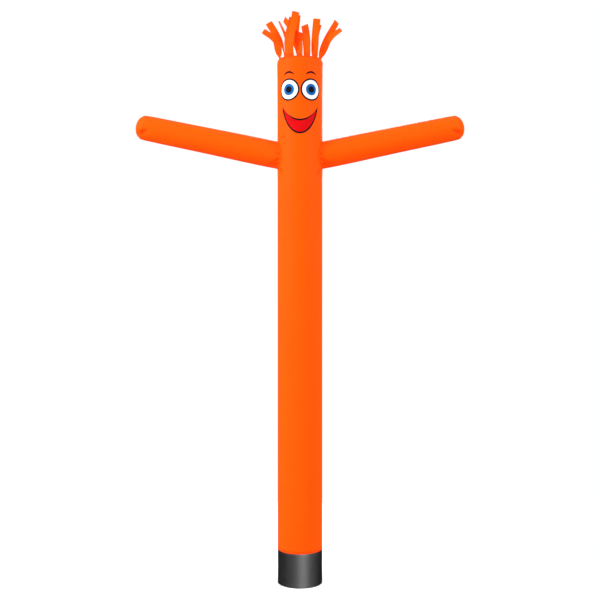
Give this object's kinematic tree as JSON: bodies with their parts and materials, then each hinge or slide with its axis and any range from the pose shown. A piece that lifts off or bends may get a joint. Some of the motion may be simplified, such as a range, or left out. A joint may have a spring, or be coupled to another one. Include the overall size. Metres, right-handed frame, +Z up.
{
  "type": "inflatable air dancer",
  "caption": "Tall inflated cloth tube with two upswept sleeve arms, a domed head with a fringe of hair strips, and a dark cuff that slips over a blower.",
  "frame": {"origin": "centre of the fan cuff's open mouth, on the surface that it stands on", "axes": "+Z up along the tube, +X towards arm_right, the arm on the right as seen from the front, -Y towards the face"},
  "size_m": [3.4688, 0.4824, 6.0039],
  "materials": {
    "orange_cloth": "smooth coated nylon with a soft sheen",
    "hair_cloth": "thin cut nylon strip, soft sheen",
    "dark_cloth": "coated woven cloth, satin",
    "face_white": "flat print on cloth",
    "face_black": "flat print on cloth",
    "face_blue": "flat print on cloth",
    "face_red": "flat print on cloth"
  },
  "bodies": {
    "root": {"body_tube": "orange_cloth", "head_cap": "orange_cloth", "fan_cuff": "dark_cloth", "arm_left": "orange_cloth", "hand_cap_left": "orange_cloth", "arm_right": "orange_cloth", "hand_cap_right": "orange_cloth", "hair": "hair_cloth"}
  },
  "joints": []
}
